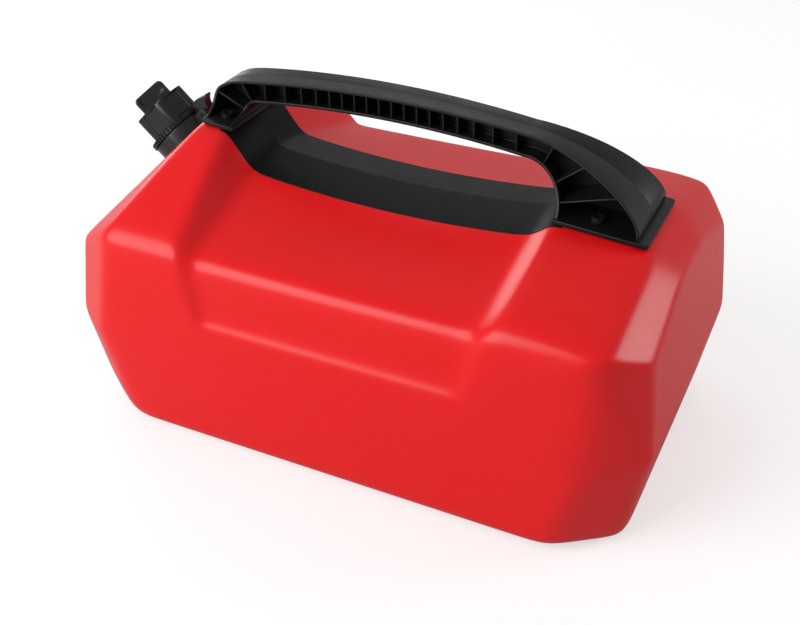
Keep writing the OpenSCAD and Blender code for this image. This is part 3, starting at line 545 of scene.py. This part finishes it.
def parting_line(tree, height):
    """Adds a fine moulded line round a piece at a height to its finish."""
    nodes = tree.nodes
    group = bpy.data.node_groups.new("parting_line", "ShaderNodeTree")
    sockets = group.interface
    sockets.new_socket("Height", in_out="INPUT", socket_type="NodeSocketFloat")
    sockets.new_socket("Half Width", in_out="INPUT", socket_type="NodeSocketFloat").default_value = 0.0009
    sockets.new_socket("Line", in_out="OUTPUT", socket_type="NodeSocketFloat")
    given, put = group.nodes.new("NodeGroupInput"), group.nodes.new("NodeGroupOutput")
    coords, split = group.nodes.new("ShaderNodeTexCoord"), group.nodes.new("ShaderNodeSeparateXYZ")
    match = group.nodes.new("ShaderNodeMath")
    match.operation = "COMPARE"
    link(group, coords.outputs["Object"], split.inputs["Vector"])
    link(group, split.outputs["Z"], match.inputs[0])
    link(group, given.outputs["Height"], match.inputs[1])
    link(group, given.outputs["Half Width"], match.inputs[2])
    link(group, match.outputs["Value"], put.inputs["Line"])
    line, relief = nodes.new("ShaderNodeGroup"), nodes.new("ShaderNodeBump")
    line.node_tree = group
    line.inputs["Height"].default_value = height
    relief.inputs["Strength"].default_value = 0.5
    relief.inputs["Distance"].default_value = RELIEF
    shader = nodes["Principled BSDF"]
    link(tree, shader.inputs["Normal"].links[0].from_socket, relief.inputs["Normal"])
    link(tree, line.outputs["Line"], relief.inputs["Height"])
    link(tree, relief.outputs["Normal"], shader.inputs["Normal"])


def plastic(name, base, rough=(0.36, 0.46), grain=1500, bump=0.10, waver=0.0, shift=0.12, metallic=0.0,
            specular=0.5):
    """A moulded finish: base colour with a faint mottle, mottled roughness and a fine grain."""
    found = bpy.data.materials.get(name)
    if found:
        return found
    made = bpy.data.materials.new(name)
    made.use_nodes = True
    tree = made.node_tree
    shader = tree.nodes["Principled BSDF"]
    shader.inputs["Metallic"].default_value = metallic
    shader.inputs["Specular IOR Level"].default_value = specular
    shader.inputs["IOR"].default_value = PLASTIC_IOR
    group = tree.nodes.new("ShaderNodeGroup")
    group.node_tree = grain_group()
    group.inputs["Grain Scale"].default_value = grain
    group.inputs["Waver"].default_value = waver
    tint = tree.nodes.new("ShaderNodeMix")
    tint.data_type = "RGBA"
    tint.inputs["A"].default_value = [c * (1 - shift) for c in base[:3]] + [1]
    tint.inputs["B"].default_value = [min(1, c * (1 + shift)) for c in base[:3]] + [1]
    link(tree, group.outputs["Mottle"], tint.inputs["Factor"])
    link(tree, tint.outputs["Result"], shader.inputs["Base Color"])
    gloss = tree.nodes.new("ShaderNodeMapRange")
    gloss.inputs["From Min"].default_value = 0.3
    gloss.inputs["From Max"].default_value = 0.7
    gloss.inputs["To Min"].default_value, gloss.inputs["To Max"].default_value = rough
    link(tree, group.outputs["Mottle"], gloss.inputs["Value"])
    link(tree, gloss.outputs["Result"], shader.inputs["Roughness"])
    relief = tree.nodes.new("ShaderNodeBump")
    relief.inputs["Strength"].default_value = bump
    relief.inputs["Distance"].default_value = RELIEF
    link(tree, group.outputs["Height"], relief.inputs["Height"])
    link(tree, relief.outputs["Normal"], shader.inputs["Normal"])
    return made


def tank_finish(scene):
    """Glossy red, with the mould's parting line at the belt."""
    tank = scene.caddy_tank
    made = plastic("tank_moulded", tank.skin, rough=(0.29, 0.32), grain=1300, bump=0.02, shift=0.03)
    parting_line(made.node_tree, tank.belt_height)
    return made


def handle_finish(scene):
    """Satin black with a fine grain, for the handle."""
    return plastic("handle_moulded", scene.caddy_handle.plastic, rough=(0.34, 0.45), grain=1700, bump=0.08,
                   specular=0.41)


def liner_finish(scene):
    """A duller black of the same grain, for the liner."""
    return plastic("liner_moulded", scene.caddy_handle.plastic, rough=(0.34, 0.45), grain=1700, bump=0.08,
                   specular=0.16)


def closure_finish(scene):
    """Smooth, glossier black, for the neck, cap, knob and lever."""
    return plastic("closure_moulded", scene.caddy_closure.plastic, rough=(0.23, 0.29), grain=1900, bump=0.03,
                   specular=0.7)


def rubber_finish():
    """Dull black rubber, for the seals and feet."""
    return plastic("rubber_finish", (0.017, 0.017, 0.017, 1), rough=(0.62, 0.78), grain=900, bump=0.25)


def dark_steel_finish():
    """Blackened steel, for the screws and the lever's pin."""
    return plastic("dark_steel_finish", (0.012, 0.012, 0.013, 1), rough=(0.42, 0.55), grain=2200, bump=0.06,
                   metallic=0.4)


def steel_finish():
    """Bright steel, for the flame screen and the clip."""
    return plastic("steel_finish", (0.60, 0.61, 0.63, 1), rough=(0.24, 0.36), grain=2200, bump=0.05,
                   metallic=1.0)


def brass_finish():
    """Brass, for the threaded inserts."""
    return plastic("brass_finish", (0.60, 0.44, 0.18, 1), rough=(0.28, 0.4), grain=2200, bump=0.05,
                   metallic=1.0)


def dress(node, material):
    """Gives a CAD node its finish."""
    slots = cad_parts[node].data.materials
    slots.clear()
    slots.append(material)


# Stage

FLOOR_HALF = 6.0
LAMPS = {
    "key": ((-0.94, -1.38, 1.0), 1.5),
    "rim": ((-1.7, 1.1, 0.62), 0.9),
    "side": ((1.23, 0.65, 0.63), 0.5),
    "back": ((-0.45, 1.34, 1.2), 0.8),
}
LAMP_AIM = Vector((0, 0, 0.1))
CAMERA_TURN, CAMERA_RISE, CAMERA_TIP = 26.57, 33.97, -1.19
CAMERA_ACROSS, CAMERA_UP, CAMERA_BACK, CAMERA_FROM_Z = 0.07, -25.91, 822.08, 100.0
SENSOR_MM, LENS_MM = 36.0, 49.82


# Operators

class CADDY_OT_stage(Operator):
    """Make the floor, the light and the camera"""

    bl_idname = "caddy.stage"
    bl_label = "Stage"

    def execute(self, context):
        scene = context.scene
        stage = scene.caddy_stage
        bm = bmesh.new()
        bmesh.ops.create_grid(bm, x_segments=2, y_segments=2, size=FLOOR_HALF)
        mesh = bpy.data.meshes.new("floor")
        bm.to_mesh(mesh)
        bm.free()
        floor = bpy.data.objects.new("floor", mesh)
        scene.collection.objects.link(floor)
        paper = plastic("floor_paper", stage.floor, rough=(0.75, 0.85), grain=300, bump=0.0, shift=0.004)
        tree = paper.node_tree
        shader, path = tree.nodes["Principled BSDF"], tree.nodes.new("ShaderNodeLightPath")
        shader.inputs["Emission Color"].default_value = (1, 1, 1, 1)
        glow = tree.nodes.new("ShaderNodeMath")
        glow.operation = "MULTIPLY"
        glow.inputs[1].default_value = stage.floor_glow
        link(tree, path.outputs["Is Camera Ray"], glow.inputs[0])
        link(tree, glow.outputs["Value"], shader.inputs["Emission Strength"])
        mesh.materials.append(paper)
        self.light(scene, stage)
        self.camera(scene)
        scene.view_settings.view_transform = "Standard"
        return {"FINISHED"}

    @staticmethod
    def light(scene, stage):
        """Even light from all round, white to the camera, and four soft lamps."""
        world = bpy.data.worlds.new("studio")
        scene.world = world
        world.use_nodes = True
        tree = world.node_tree
        sky, path = tree.nodes["Background"], tree.nodes.new("ShaderNodeLightPath")
        level = tree.nodes.new("ShaderNodeMapRange")
        sky.inputs["Color"].default_value = (1, 1, 1, 1)
        level.inputs["To Min"].default_value = stage.sky
        link(tree, path.outputs["Is Camera Ray"], level.inputs["Value"])
        link(tree, level.outputs["Result"], sky.inputs["Strength"])
        for name, (place, size) in LAMPS.items():
            lamp = bpy.data.lights.new(name, "AREA")
            lamp.shape = "SQUARE"
            lamp.size = size
            lamp.energy = getattr(stage, name + "_power")
            holder = bpy.data.objects.new(name, lamp)
            scene.collection.objects.link(holder)
            holder.location = place
            holder.rotation_euler = (LAMP_AIM - Vector(place)).to_track_quat("-Z", "Y").to_euler()

    @staticmethod
    def camera(scene):
        """The photograph's camera, turned to the right, raised and tipped a little."""
        turn, rise, tip = (math.radians(a) for a in (CAMERA_TURN, CAMERA_RISE, CAMERA_TIP))
        back = Vector((math.sin(turn) * math.cos(rise), -math.cos(turn) * math.cos(rise), math.sin(rise)))
        right = Vector((math.cos(turn), math.sin(turn), 0))
        up = back.cross(right)
        across = right * math.cos(tip) + up * math.sin(tip)
        upright = up * math.cos(tip) - right * math.sin(tip)
        place = across * CAMERA_ACROSS + upright * CAMERA_UP + back * CAMERA_BACK
        place.z += CAMERA_FROM_Z
        lens = bpy.data.cameras.new("camera")
        lens.sensor_width = SENSOR_MM
        lens.lens = LENS_MM
        lens.clip_start, lens.clip_end = 0.01, 50
        holder = bpy.data.objects.new("camera", lens)
        scene.collection.objects.link(holder)
        axes = Matrix((across, upright, back)).transposed().to_4x4()
        holder.matrix_world = Matrix.Translation(place * MM) @ axes
        scene.camera = holder


class CADDY_OT_tank(Operator):
    """Wrap a fine grid round the tank's form"""

    bl_idname = "caddy.tank"
    bl_label = "Tank"

    def execute(self, context):
        tank = context.scene.caddy_tank
        form = TankForm(tank)
        bm = bmesh.new()
        lattice_box(bm, INNER_LOW - WRAP_MARGIN, INNER_HIGH + WRAP_MARGIN, tank.grid_step / MM)
        points = np.array([v.co for v in bm.verts])
        for vert, p in zip(bm.verts, wrap(points, form.distance)):
            vert.co = p
        to_piece(bm, "tank_skin", "tank", tank_finish(context.scene), ["tank"], sharp=None)
        return {"FINISHED"}


class CADDY_OT_liner(Operator):
    """Lay the saddle liner in the hand recess"""

    bl_idname = "caddy.liner"
    bl_label = "Saddle liner"

    def execute(self, context):
        form = TankForm(context.scene.caddy_tank)
        low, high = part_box("saddle_liner")
        xs = np.linspace(low.x / MM, high.x / MM, 220)
        ys = np.linspace(-LINER_HALF_W, LINER_HALF_W, 41)
        bm = bmesh.new()
        rings = []
        for x in xs:
            top = [(x, y, self.skin_z(form, x, y) + LINER_LIFT) for y in ys]
            rings.append([(x, ys[0], top[0][2] - LINER_SKIRT), *top, (x, ys[-1], top[-1][2] - LINER_SKIRT)])
        sweep(bm, rings)
        to_piece(bm, "saddle_liner_skin", "tank", liner_finish(context.scene), ["saddle_liner"],
                 edge=0.4)
        return {"FINISHED"}

    @staticmethod
    def skin_z(form, x, y):
        """Height of the tank's skin at a place in the hand recess."""
        zs = np.linspace(150.0, 225.0, 301)
        d = form.distance(np.stack([np.full_like(zs, x), np.full_like(zs, y), zs], 1))
        return float(np.interp(0, d, zs))


class CADDY_OT_handle(Operator):
    """Sweep the ribbed handle and its foot plates"""

    bl_idname = "caddy.handle"
    bl_label = "Handle"

    def execute(self, context):
        handle = context.scene.caddy_handle
        beam = Beam(handle)
        flange, web = handle.flange / MM, handle.web / MM / 2
        bm = bmesh.new()
        sweep(bm, [self.section(beam, u, flange, web) for u in beam.stations()])
        for u in beam.ribs(handle.rib_count):
            self.rib(bm, beam, u, flange, handle.rib / MM)
        self.plate(bm, RIDGE_L[0], LEG_X0 + LEG_LEFT + PLATE_LAP, PLATE_CORNER_L)
        self.plate(bm, RIDGE_R[0], LEG_X1 - LEG_RIGHT - PLATE_LAP, PLATE_CORNER_R)
        to_piece(bm, "handle_skin", "tank", handle_finish(context.scene), ["handle"],
                 edge=0.5)
        dress("handle_screws", dark_steel_finish())
        dress("handle_inserts", brass_finish())
        return {"FINISHED"}

    @staticmethod
    def section(beam, u, flange, web):
        """The beam's cross section at u: two flanges joined by a web, with a parting groove on top."""
        o, i, w = beam.outer(u), beam.inner(u), beam.width(u)
        along = (i - o) / np.linalg.norm(i - o)
        o_in, i_in = o + along * flange, i - along * flange
        groove = o + along * GROOVE_D
        at = lambda p, y: (p[0], y, p[1])
        return [at(o, -w), at(o, -GROOVE_HALF_W), at(groove, 0), at(o, GROOVE_HALF_W), at(o, w), at(o_in, w),
                at(o_in, web), at(i_in, web), at(i_in, w), at(i, w), at(i, -w), at(i_in, -w), at(i_in, -web),
                at(o_in, -web), at(o_in, -w)]

    @staticmethod
    def rib(bm, beam, u, flange, thickness):
        """One rib across the web, from flange to flange."""
        o, i = beam.outer(u), beam.inner(u)
        along = (i - o) / np.linalg.norm(i - o)
        side = np.array([-along[1], along[0]]) * thickness / 2
        o, i = o + along * flange * 0.5, i - along * flange * 0.5
        w = beam.width(u) - RIB_SET_BACK
        outline = [tuple(p) for p in (o + side, o - side, i - side, i + side)]
        prism(bm, outline, -w, w)

    @staticmethod
    def plate(bm, x0, x1, corner):
        """A foot plate on the ridge from its end at x0 to x1, with the two corners at x0 rounded."""
        way, half = math.copysign(1, x1 - x0), RIDGE_HALF_W - PLATE_MARGIN
        line = [(x0 + way * (corner - corner * math.cos(a)), half - corner + corner * math.sin(a))
                for a in np.radians(np.linspace(0, 90, 9))]
        outline = [(x1, -half), *((x, -y) for x, y in reversed(line)), *line, (x1, half)]
        sweep(bm, [[(x, y, ridge_z(x) + z) for x, y in outline] for z in (0, PLATE_T)])


class CADDY_OT_neck(Operator):
    """Turn the filler neck with its collar, thread and ears"""

    bl_idname = "caddy.neck"
    bl_label = "Filler neck"

    def execute(self, context):
        bm = bmesh.new()
        low = COLLAR_Z0 - SPIGOT_H
        turned(bm, [(NECK_BORE, low), (SPIGOT_R, low), (SPIGOT_R, COLLAR_Z0), (COLLAR_R, COLLAR_Z0),
                    *arc(COLLAR_R - COLLAR_ROUND, COLLAR_Z1 - COLLAR_ROUND, COLLAR_ROUND, 0, 90),
                    (THREAD_R, COLLAR_Z1), *arc(THREAD_R - RIM_ROUND, RIM_Z - RIM_ROUND, RIM_ROUND, 0, 90),
                    (NECK_BORE, RIM_Z)])
        wound_ridge(bm, THREAD_R - THREAD_ROOT, THREAD_R + THREAD_H, COLLAR_Z1 + THREAD_W, THREAD_TURNS)
        for side in (-1, 1):
            outline = [(COLLAR_R - EAR_ROOT, COLLAR_Z0 + EAR_LOW), *arc(PIN_X, PIN_Z, HUB_R, -90, 90),
                       (COLLAR_R - EAR_ROOT, COLLAR_Z1 - EAR_HIGH)]
            prism(bm, outline, side * EAR_Y, side * (EAR_Y + EAR_T))
        to_piece(bm, "filler_neck_skin", "tank", closure_finish(context.scene), ["filler_neck"],
                 NECK, edge=0.3)
        dress("neck_seal", rubber_finish())
        dress("spout", closure_finish(context.scene))
        dress("flame_screen", steel_finish())
        dress("lever_pin", dark_steel_finish())
        return {"FINISHED"}


class CADDY_OT_cap(Operator):
    """Build the cap with its toothed flange and six-sided grip"""

    bl_idname = "caddy.cap"
    bl_label = "Cap"

    def execute(self, context):
        closure = context.scene.caddy_closure
        bm = bmesh.new()
        self.flange(bm, closure.flange_radius / MM, closure.teeth)
        self.grip(bm, closure.grip_radius / MM)
        wound_ridge(bm, CAP_BORE + THREAD_ROOT, THREAD_R + RUN_GAP, COLLAR_Z1 + THREAD_W + THREAD_PITCH / 2,
                    THREAD_TURNS)
        to_piece(bm, "cap_skin", "cap", closure_finish(context.scene), ["cap"], NECK,
                 edge=0.3)
        dress("cap_gasket", rubber_finish())
        return {"FINISHED"}

    @staticmethod
    def flange(bm, radius, teeth):
        """A ring with teeth round its rim."""
        step = 2 * math.pi / teeth
        pattern = ((-0.32, radius), (0.10, radius), (0.24, radius - TOOTH_D), (0.54, radius - TOOTH_D))
        rim = [(r, (i + a) * step) for i in range(teeth) for a, r in pattern]
        hole = [(CAP_BORE, 2 * math.pi * i / len(rim)) for i in range(len(rim))]
        high = FLANGE_Z + FLANGE_H
        lines = ((rim, FLANGE_Z), (rim, high), (hole, high), (hole, FLANGE_Z))
        loops = [ring(bm, line, z) for line, z in lines]
        for a, b in zip(loops, loops[1:] + loops[:1]):
            bmesh.ops.bridge_loops(bm, edges=a + b)

    @staticmethod
    def grip(bm, radius):
        """A hollow six-sided grip with rounded corners, a sunk panel in each face and a hole for the stem."""
        corners = [(radius, math.radians(HEX_TURN + 60 * i)) for i in range(6)]
        foot = HEX_Z - GRIP_LAP
        low, high = ring(bm, corners, foot), ring(bm, corners, HEX_TOP)
        sides = bmesh.ops.bridge_loops(bm, edges=low + high)["faces"]
        upright = list({e for f in sides for e in f.edges} - {*low, *high})
        bmesh.ops.bevel(bm, geom=upright, offset=HEX_ROUND, offset_type="OFFSET", affect="EDGES", segments=6,
                        profile=0.5, material=-1)
        walls = (f for f in bm.faces if f.calc_center_median().z > HEX_Z)
        flats = sorted(walls, key=lambda f: -f.calc_area())[:6]
        rims = [[e for e in bm.edges if e.is_boundary and all(abs(v.co.z - z) < 0.01 for v in e.verts)]
                for z in (foot, HEX_TOP)]
        bmesh.ops.recalc_face_normals(bm, faces=bm.faces)
        bmesh.ops.inset_individual(bm, faces=flats, thickness=HEX_BORDER)
        bmesh.ops.inset_individual(bm, faces=flats, thickness=PANEL_EDGE, depth=-HEX_SINK)
        hole = [math.radians(HEX_TURN + 7.5 * i) for i in range(48)]
        loops = [ring(bm, [(r, a) for a in hole], z) for r, z in (
            (STEM_R + STEM_GAP, HEX_TOP), (STEM_R + STEM_GAP, CEILING_Z), (CAP_BORE, CEILING_Z),
            (CAP_BORE, foot))]
        for a, b in zip([rims[1], *loops], [*loops, rims[0]]):
            bmesh.ops.bridge_loops(bm, edges=a + b)
        brim = [e for e in rims[1] if e.is_valid]
        bmesh.ops.bevel(bm, geom=brim, offset=HEX_BRIM, offset_type="OFFSET", affect="EDGES", segments=4,
                        profile=0.5, material=-1)


class CADDY_OT_vent_knob(Operator):
    """Shape the vent knob: a dished blade on a stem"""

    bl_idname = "caddy.vent_knob"
    bl_label = "Vent knob"

    def execute(self, context):
        bm = bmesh.new()
        bmesh.ops.create_cube(bm, size=2)
        bmesh.ops.subdivide_edges(bm, edges=bm.edges[:], cuts=39, use_grid_fill=True)
        for vert in bm.verts:
            vert.co = self.shape(*vert.co)
        turn = Matrix.Rotation(math.radians(KNOB_TURN), 3, "Z")
        bmesh.ops.rotate(bm, cent=(0, 0, 0), matrix=turn, verts=bm.verts)
        head = KNOB_Z + STEM_LAP
        turned(bm, [(STEM_CORE, STEM_Z), (STEM_R, STEM_Z), (STEM_R, head), (STEM_CORE, head)], 48)
        to_piece(bm, "vent_knob_skin", "vent", closure_finish(context.scene), ["vent_knob"],
                 NECK)
        dress("vent_seal", rubber_finish())
        dress("vent_clip", steel_finish())
        return {"FINISHED"}

    @staticmethod
    def shape(u, v, w):
        """Bends a point of a cube from -1 to 1 into the blade: a slab with rounded top corners and edges,
        with a finger hollow sunk into each broad side."""
        half, tall = KNOB_W / 2, KNOB_H / 2
        x, z = u * half, (w + 1) * tall
        over = np.array([abs(x) - (half - KNOB_CORNER), z - (KNOB_H - KNOB_CORNER)])
        if over.min() > 0:
            x, z = (math.copysign(half - KNOB_CORNER + over[0] * over.max() / math.hypot(*over), x),
                    KNOB_H - KNOB_CORNER + over[1] * over.max() / math.hypot(*over))
        inside = min(1 - abs(u), (1 - w) * tall / half)
        thick = KNOB_T / 2 * (1 - KNOB_TAPER * (w + 1) / 2)
        edge = math.sqrt(max(0.0, 1 - max(0.0, 1 - inside / KNOB_EDGE_REACH) ** 2))
        thick *= edge * KNOB_EDGE + 1 - KNOB_EDGE
        reach = 1 - (u / HOLLOW_HALF_W) ** 4 - ((w - HOLLOW_MID) / HOLLOW_HALF_H) ** 4
        hollow = HOLLOW_D * min(1.0, max(0.0, reach) / HOLLOW_EASE) ** 0.8
        return x, v * max(thick - hollow, KNOB_WEB), KNOB_Z + z


class CADDY_OT_lever(Operator):
    """Shape the lock lever"""

    bl_idname = "caddy.lever"
    bl_label = "Lock lever"

    def execute(self, context):
        bm = bmesh.new()
        nose = context.scene.caddy_closure.flange_radius / MM + RUN_GAP
        pad_z = LEVER_TOP - PAD_DROP
        back = [(LEVER_TIP - HOOK_W * (0.25 + 0.75 * math.cos(a)), pad_z - PAD_T - HOOK_H * (1 - math.sin(a)))
                for a in np.radians(np.linspace(80, 32, 12))]
        outline = [*arc(PIN_X, PIN_Z, HUB_R, 175, 355), *reversed(back), (LEVER_TIP, pad_z - PAD_T),
                   (LEVER_TIP, pad_z), (nose + 2 * NOSE_H, LEVER_TOP), (nose + NOSE_H, LEVER_TOP),
                   (nose, FLANGE_Z + NOSE_H / 2), (nose, FLANGE_Z - NOSE_H / 2)]
        rings = []
        for a in np.radians(np.linspace(-90, 90, 25)):
            end = LEVER_TIP - LEVER_W / 2 * (1 - math.cos(a))
            rings.append([(min(x, end), LEVER_W / 2 * math.sin(a), z) for x, z in outline])
        sweep(bm, rings)
        to_piece(bm, "lock_lever_skin", "lever", closure_finish(context.scene), ["lock_lever"],
                 NECK, edge=0.45)
        return {"FINISHED"}


class CADDY_OT_feet(Operator):
    """Turn the four rubber feet"""

    bl_idname = "caddy.feet"
    bl_label = "Feet"

    def execute(self, context):
        for end, side in ((e, s) for e in ("left", "right") for s in ("front", "back")):
            bm = bmesh.new()
            peg_top = FOOT_TOP + FOOT_PEG_H
            turned(bm, [(FOOT_CORE, 0), (FOOT_R - FOOT_ROUND, 0), (FOOT_R - FOOT_ROUND / 3, FOOT_ROUND / 3),
                        (FOOT_R, FOOT_ROUND), (FOOT_R, FOOT_TOP), (FOOT_PEG_R, FOOT_TOP),
                        (FOOT_PEG_R, peg_top), (FOOT_CORE, peg_top)], 64)
            place = Matrix.Translation((FOOT_X * (1 if end == "right" else -1),
                                        FOOT_Y * (1 if side == "back" else -1), 0))
            name = f"foot_{side}_{end}"
            to_piece(bm, name + "_skin", "tank", rubber_finish(), [name], place)
        return {"FINISHED"}


class CADDY_PT_panel(Panel):
    """Lists the caddy's pieces in the sidebar"""

    bl_idname = "CADDY_PT_panel"
    bl_label = "Fuel Caddy"
    bl_space_type = "VIEW_3D"
    bl_region_type = "UI"
    bl_category = "Caddy"

    def draw(self, context):
        for group in GROUPS:
            box = self.layout.box()
            for name in group.__annotations__:
                box.prop(getattr(context.scene, GROUPS[group]), name)
        for operator in OPERATORS:
            self.layout.operator(operator.bl_idname)


GROUPS = {CaddyTank: "caddy_tank", CaddyHandle: "caddy_handle", CaddyClosure: "caddy_closure",
          CaddyStage: "caddy_stage"}
OPERATORS = (CADDY_OT_stage, CADDY_OT_tank, CADDY_OT_liner, CADDY_OT_handle, CADDY_OT_neck, CADDY_OT_cap,
             CADDY_OT_vent_knob, CADDY_OT_lever, CADDY_OT_feet)


def register():
    """Adds the classes and the scene's settings."""
    for cls in (*GROUPS, *OPERATORS, CADDY_PT_panel):
        bpy.utils.register_class(cls)
    for group, name in GROUPS.items():
        setattr(bpy.types.Scene, name, PointerProperty(type=group))


def unregister():
    """Takes away what register added."""
    for name in GROUPS.values():
        delattr(bpy.types.Scene, name)
    for cls in reversed((*GROUPS, *OPERATORS, CADDY_PT_panel)):
        bpy.utils.unregister_class(cls)


def main():
    """Builds every piece in order."""
    register()
    for operator in OPERATORS:
        area, name = operator.bl_idname.split(".")
        getattr(getattr(bpy.ops, area), name)()


if __name__ == "__main__":
    main()
